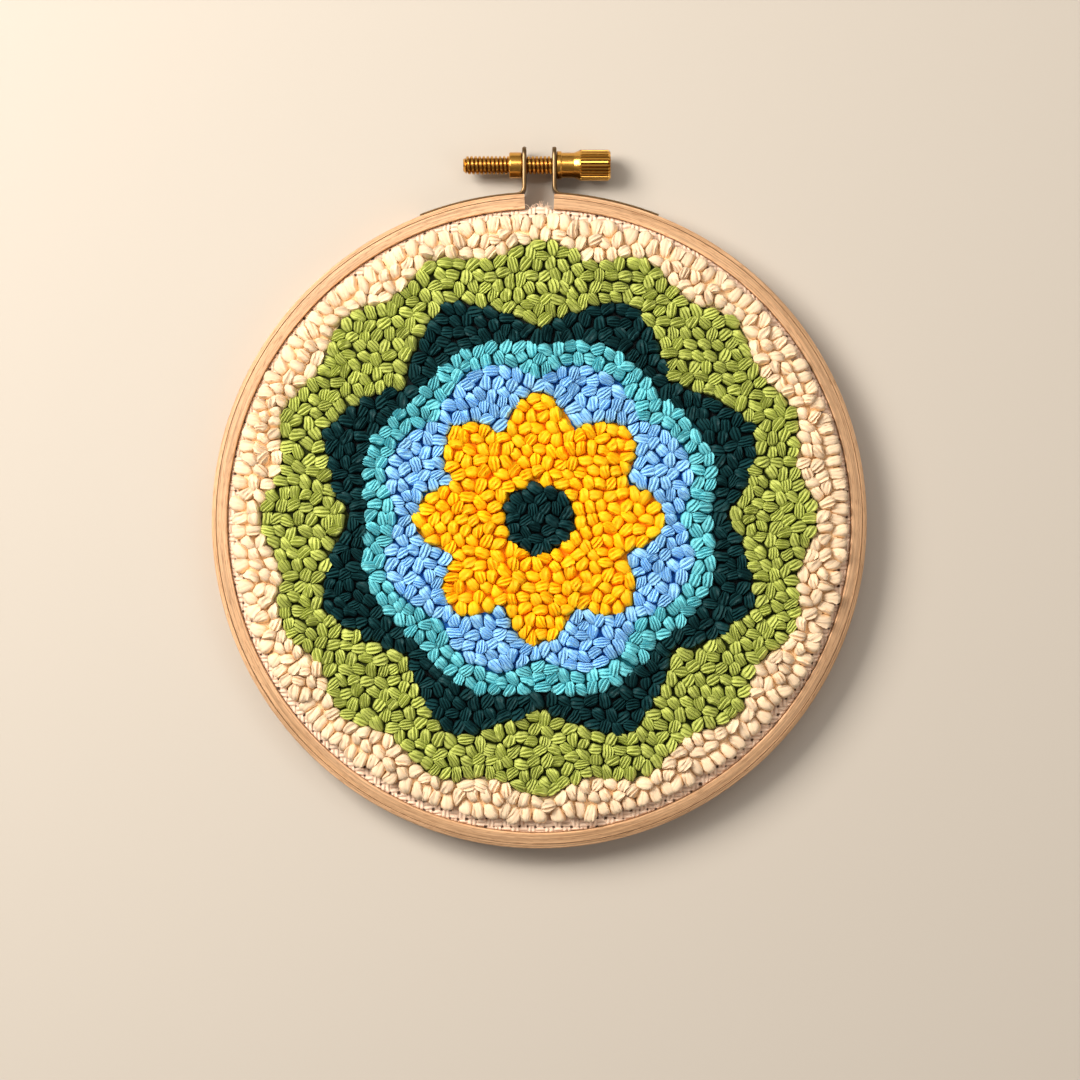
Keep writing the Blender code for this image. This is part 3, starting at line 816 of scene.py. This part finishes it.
def rounded_strip(stations):
    """A strip through the stations, round along its edges and at the corners of its first end."""
    half_width = (lug_high[2] - lug_low[2]) / 2
    bm = bmesh.new()
    rings = []
    for place, across, half in stations:
        from_end = (place - stations[0][0]).length
        missing = max(LUG_CORNER - from_end, 0)
        width = half_width - LUG_CORNER + math.sqrt(LUG_CORNER ** 2 - missing ** 2)
        worn = max(LUG_EDGE - from_end, 0) / LUG_EDGE
        half *= max(math.sqrt(1 - worn ** 2), 0.3)
        edge = min(LUG_EDGE, 0.8 * half)
        outline = [
            *arc((half - edge, width - edge), edge, 0, 90, 4),
            *arc((edge - half, width - edge), edge, 90, 180, 4),
            *arc((edge - half, edge - width), edge, 180, 270, 4),
            *arc((half - edge, edge - width), edge, 270, 360, 4),
        ]
        ring = bmesh.ops.create_circle(bm, segments=len(outline), radius=MM)
        for vert, (out, up) in zip(ring["verts"], outline):
            vert.co = (place + across * out).to_3d() + Vector((0, 0, AXIS.z + up))
        rings.append(list({edge for vert in ring["verts"] for edge in vert.link_edges}))
    bmesh.ops.contextual_create(bm, geom=rings[0])
    bmesh.ops.contextual_create(bm, geom=rings[-1])
    for one, other in zip(rings, rings[1:]):
        bmesh.ops.bridge_loops(bm, edges=one + other)
    return bm


def drill_hole(piece):
    """Takes the screw's hole out of a piece and keeps the result as the piece's own mesh."""
    drill_mesh = bmesh.new()
    bmesh.ops.create_cone(drill_mesh, cap_ends=True, segments=48, radius1=HOLE_RADIUS,
                          radius2=HOLE_RADIUS, depth=DRILL_LENGTH)
    bmesh.ops.rotate(drill_mesh, verts=drill_mesh.verts, cent=(0, 0, 0),
                     matrix=Matrix.Rotation(math.pi / 2, 3, "Y"))
    bmesh.ops.translate(drill_mesh, verts=drill_mesh.verts, vec=AXIS)
    drill = make_piece("drill", drill_mesh, plated)
    cut = piece.modifiers.new("hole", "BOOLEAN")
    cut.operation = "DIFFERENCE"
    cut.solver = "EXACT"
    cut.object = drill
    shaped = piece.evaluated_get(bpy.context.evaluated_depsgraph_get())
    piece.data = bpy.data.meshes.new_from_object(shaped)
    piece.modifiers.clear()
    piece.data.set_sharp_from_angle(angle=math.radians(40))
    bpy.data.objects.remove(drill)


plated = nickel_material()
foot_face = OUTER_RADIUS + FOOT_LIFT + FOOT_THICKNESS
for side, sign in (("left", -1), ("right", 1)):
    strip = rounded_strip(strap_stations())
    for vert in strip.verts:
        vert.co.x *= sign
    bmesh.ops.recalc_face_normals(strip, faces=strip.faces)
    bmesh.ops.translate(strip, verts=strip.verts, vec=(HOOP.x, HOOP.y, 0))
    strap = make_piece(f"strap_{side}", strip, plated, sharp_deg=40)
    drill_hole(strap)
    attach(strap, "hoop")
    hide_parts(f"lug_{side}")
    tack_heads = bmesh.new()
    for place_deg in TACK_PLACES_DEG:
        ball = bmesh.ops.create_uvsphere(tack_heads, u_segments=20, v_segments=10, radius=TACK_RADIUS)
        head = ball["verts"]
        bmesh.ops.scale(tack_heads, verts=head, vec=(1, TACK_RISE / TACK_RADIUS, 1))
        bmesh.ops.translate(tack_heads, verts=head, vec=(0, foot_face, AXIS.z))
        bmesh.ops.rotate(tack_heads, verts=head, cent=(0, 0, 0),
                         matrix=Matrix.Rotation(-sign * math.radians(place_deg), 3, "Z"))
    bmesh.ops.translate(tack_heads, verts=tack_heads.verts, vec=(HOOP.x, HOOP.y, 0))
    tacks = make_piece(f"tacks_{side}", tack_heads, plated)
    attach(tacks, "hoop")

# Nut, bushing and thumbscrew
# Turned brass. The nut sits outside the left lug, the screw runs through both lugs, and a stepped
# bushing stands between the right lug and the knurled head.
screw_low, screw_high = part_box("thumbscrew")
HEAD_RADIUS = (screw_high[1] - screw_low[1]) / 2
THREAD_CREST = 2.25 * MM
THREAD_ROOT = 1.7 * MM
THREAD_GROOVE_SHADE = 0.62
THREAD_PITCH = 1.0 * MM
TIP_CHAMFER = 0.25 * MM
TIP_SLOPE = 0.9
TURN_STEPS = 24
HEAD_LENGTH = 7.7 * MM
CONE_LENGTH = 1.25 * MM
CONE_RADIUS = 3.1 * MM
KNURLS = 28
KNURL_DEPTH = 0.42 * MM
SEAT_GAP = 0.03 * MM
BRASS_LIGHT = (0.83, 0.46, 0.11, 1)
BRASS_DARK = (0.70, 0.36, 0.065, 1)
BRASS_GROOVE_SHADE = (0.13, 0.045, 0.008, 1)


def brass_material():
    """Turned brass with faint tool marks round it, with painted shade in the roots of the thread and the
    grooves of the knurling.
    """
    material, tree, shader = new_material("turned_brass", Metallic=1.0, Roughness=0.24)
    at = add_node(tree, "ShaderNodeTexCoord").outputs["Object"]
    patches = add_node(tree, "ShaderNodeTexNoise", None, Vector=at, Scale=420.0, Detail=3.0)
    colour = blend_colours(tree, patches.outputs[0], BRASS_DARK, BRASS_LIGHT)
    cut = add_node(tree, "ShaderNodeAttribute", {"attribute_name": "cut"}).outputs["Fac"]
    # Painted shade in the thread's roots and the knurls' grooves, by the cut attribute.
    groove_shade = rescale(tree, cut, 0.2, 0.75)
    tree.links.new(blend_colours(tree, groove_shade, colour, BRASS_GROOVE_SHADE), shader.inputs["Base Color"])
    rings = stretched_noise(tree, at, (2600, 60, 60), 2.0)
    tree.links.new(rescale(tree, rings, 0.0, 1.0, 0.23, 0.28), shader.inputs["Roughness"])
    raise_surface(tree, shader, rings, 0.1, 0.02 * MM)
    return material


def lay_on_axis(bm, start):
    """Turns a piece made about Z to lie along X on the screw's axis, its foot at start."""
    bmesh.ops.rotate(bm, verts=bm.verts, cent=(0, 0, 0), matrix=Matrix.Rotation(math.pi / 2, 3, "Y"))
    bmesh.ops.translate(bm, verts=bm.verts, vec=(start, AXIS.y, AXIS.z))


brass = brass_material()
nut_low, nut_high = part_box("nut")
nut_radius = (nut_high[1] - nut_low[1]) / 2
lug_outside = lug_low[0] + LUG_THICKNESS
nut_length = -lug_outside - SEAT_GAP - nut_low[0]
NUT_BORE = 2.4 * MM
NUT_CORNER = 0.35 * MM
LATHE_STEPS = 64
nut_section = [
    (NUT_BORE, 0),
    *arc((nut_radius - NUT_CORNER, NUT_CORNER), NUT_CORNER, 270, 360),
    *arc((nut_radius - NUT_CORNER, nut_length - NUT_CORNER), NUT_CORNER, 0, 90),
    (NUT_BORE, nut_length),
]
nut_mesh = turned(nut_section, LATHE_STEPS, closed=True)
lay_on_axis(nut_mesh, nut_low[0])
round_nut = make_piece("round_nut", nut_mesh, brass)
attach(round_nut, "hoop")
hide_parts("nut")

bushing_low, bushing_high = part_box("bushing")
flange_radius = (bushing_high[1] - bushing_low[1]) / 2
bushing_start = lug_outside + SEAT_GAP
head_start = screw_high[0] - HEAD_LENGTH
cone_start = head_start - CONE_LENGTH
bushing_length = cone_start - SEAT_GAP - bushing_start
FLANGE_LENGTH = 1.25 * MM
BUSHING_CORNER = 0.25 * MM
bushing_section = [
    (NUT_BORE, 0),
    *arc((flange_radius - BUSHING_CORNER, BUSHING_CORNER), BUSHING_CORNER, 270, 360, 3),
    *arc((flange_radius - BUSHING_CORNER, FLANGE_LENGTH - BUSHING_CORNER), BUSHING_CORNER, 0, 90, 3),
    (CONE_RADIUS, FLANGE_LENGTH),
    (CONE_RADIUS, bushing_length),
    (NUT_BORE, bushing_length),
]
bushing_mesh = turned(bushing_section, LATHE_STEPS, closed=True)
lay_on_axis(bushing_mesh, bushing_start)
stepped_bushing = make_piece("stepped_bushing", bushing_mesh, brass)
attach(stepped_bushing, "bushing")
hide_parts("bushing")


def threaded_shank(start, end):
    """A helical thread on a round core, cut square at both ends and chamfered at the first."""
    bm = bmesh.new()
    tooth = [(0.0, THREAD_ROOT), (0.05, THREAD_ROOT), (0.28, THREAD_CREST), (0.72, THREAD_CREST),
             (0.95, THREAD_ROOT), (1.0, THREAD_ROOT)]
    points = [bm.verts.new((start + (share - 1.5) * THREAD_PITCH, radius, 0)) for share, radius in tooth]
    for one, other in zip(points, points[1:]):
        bm.edges.new((one, other))
    turns = math.ceil((end - start) / THREAD_PITCH) + 3
    bmesh.ops.spin(bm, geom=points + bm.edges[:], cent=(0, 0, 0), axis=(1, 0, 0),
                   dvec=(THREAD_PITCH / TURN_STEPS, 0, 0), angle=2 * math.pi * turns,
                   steps=TURN_STEPS * turns)
    bmesh.ops.remove_doubles(bm, verts=bm.verts, dist=MM / 200)
    for place, direction in ((start, -1), (end, 1)):
        bmesh.ops.bisect_plane(bm, geom=bm.verts[:] + bm.edges[:] + bm.faces[:], plane_co=(place, 0, 0),
                               plane_no=(direction, 0, 0), clear_outer=True)
    for place in (start, end):
        rim = [edge for edge in bm.edges if edge.is_boundary
               and all(abs(vert.co.x - place) < MM / 100 for vert in edge.verts)]
        bmesh.ops.contextual_create(bm, geom=rim)
    cut = bm.verts.layers.float.new("cut")
    for vert in bm.verts:
        radius = math.hypot(vert.co.y, vert.co.z)
        # The cut attribute sets how much painted shade the brass takes, most in the thread's roots.
        vert[cut] = THREAD_GROOVE_SHADE * min(max((THREAD_CREST - radius) / (THREAD_CREST - THREAD_ROOT), 0), 1)
        most = THREAD_ROOT - TIP_CHAMFER + (vert.co.x - start) * TIP_SLOPE
        if radius > most:
            vert.co.y *= most / radius
            vert.co.z *= most / radius
    bmesh.ops.recalc_face_normals(bm, faces=bm.faces)
    return bm


def knurled_head(rings):
    """Rings of (place, radius, share of the knurl's depth) joined into one solid with flat ends."""
    bm = bmesh.new()
    cut_layer = bm.verts.layers.float.new("cut")
    loops = []
    for place, radius, share in rings:
        ring = bmesh.ops.create_circle(bm, segments=4 * KNURLS, radius=radius)
        for number, vert in enumerate(ring["verts"]):
            cut = KNURL_DEPTH * share if number % 4 == 0 else 0.0
            scale = (radius - cut) / radius
            vert.co = (vert.co.x * scale, vert.co.y * scale, place)
            # The cut attribute sets how much painted shade the brass takes in the knurls' grooves.
            vert[cut_layer] = cut / KNURL_DEPTH
        loops.append(list({edge for vert in ring["verts"] for edge in vert.link_edges}))
    bmesh.ops.contextual_create(bm, geom=loops[0])
    bmesh.ops.contextual_create(bm, geom=loops[-1])
    for one, other in zip(loops, loops[1:]):
        bmesh.ops.bridge_loops(bm, edges=one + other)
    bmesh.ops.recalc_face_normals(bm, faces=bm.faces)
    return bm


screw_mesh = threaded_shank(screw_low[0], cone_start + 0.1 * MM)
bmesh.ops.translate(screw_mesh, verts=screw_mesh.verts, vec=(0, AXIS.y, AXIS.z))
head_mesh = knurled_head([
    (0, CONE_RADIUS, 0),
    (CONE_LENGTH * 0.35, CONE_RADIUS + 0.15 * MM, 0),
    (CONE_LENGTH, HEAD_RADIUS - 0.2 * MM, 0),
    (CONE_LENGTH + 0.3 * MM, HEAD_RADIUS, 0.2),
    (CONE_LENGTH + 0.7 * MM, HEAD_RADIUS, 1),
    (CONE_LENGTH + HEAD_LENGTH - 0.6 * MM, HEAD_RADIUS, 1),
    (CONE_LENGTH + HEAD_LENGTH, HEAD_RADIUS - 0.55 * MM, 0.3),
])
lay_on_axis(head_mesh, cone_start)
head_part = bpy.data.meshes.new("head_part")
head_mesh.to_mesh(head_part)
head_mesh.free()
screw_mesh.from_mesh(head_part)
screw = make_piece("knurled_screw", screw_mesh, brass, sharp_deg=28)
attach(screw, "thumbscrew")
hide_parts("thumbscrew")

# Floor and light
# A plain pale floor, a soft key from the upper left that falls off across the piece, a narrow
# light along the screw, a weak fill and a dim surround.
FLOOR_COLOUR = (0.50, 0.46, 0.41, 1)
SURROUND_DIM = (0.14, 0.12, 0.10, 1)
SURROUND_LIGHT = (0.52, 0.48, 0.43, 1)
floor_mesh = bmesh.new()
bmesh.ops.create_grid(floor_mesh, x_segments=1, y_segments=1, size=2.0)
floor_finish, _, _ = new_material("pale_floor", Base_Color=FLOOR_COLOUR, Roughness=0.8)
floor = make_piece("floor", floor_mesh, floor_finish)


def soft_light(name, place, size, power, colour):
    """A soft light of some length and breadth, turned towards the middle of the hoop."""
    light_data = bpy.data.lights.new(name, "AREA")
    light_data.shape = "RECTANGLE"
    light_data.size, light_data.size_y = size
    light_data.energy = power
    light_data.color = colour
    light = bpy.data.objects.new(name, light_data)
    light.location = place
    light.rotation_euler = (HOOP - Vector(place)).to_track_quat("-Z", "Y").to_euler()
    bpy.context.scene.collection.objects.link(light)


soft_light("key", (-0.51, 0.33, 0.61), (0.44, 0.44), 11.4, (1.0, 0.93, 0.84))
soft_light("strip", (0, 0.38, 0.86), (1.0, 0.13), 2.2, (1.0, 0.95, 0.88))
soft_light("fill", (0.8, -0.4, 0.9), (0.8, 0.8), 2.6, (1.0, 0.96, 0.92))
surround = bpy.data.worlds.new("surround")
surround.use_nodes = True
around = surround.node_tree
way = add_node(around, "ShaderNodeSeparateXYZ", None,
               Vector=add_node(around, "ShaderNodeTexCoord").outputs["Generated"]).outputs
upward = rescale(around, way["Z"], 0.05, 0.9)
backward = rescale(around, way["Y"], -0.4, 0.3)
glow = blend_colours(around, calculate(around, "MULTIPLY", upward, backward), SURROUND_DIM, SURROUND_LIGHT)
around.links.new(glow, around.nodes["Background"].inputs["Color"])
bpy.context.scene.world = surround
bpy.context.scene.view_settings.view_transform = "Standard"
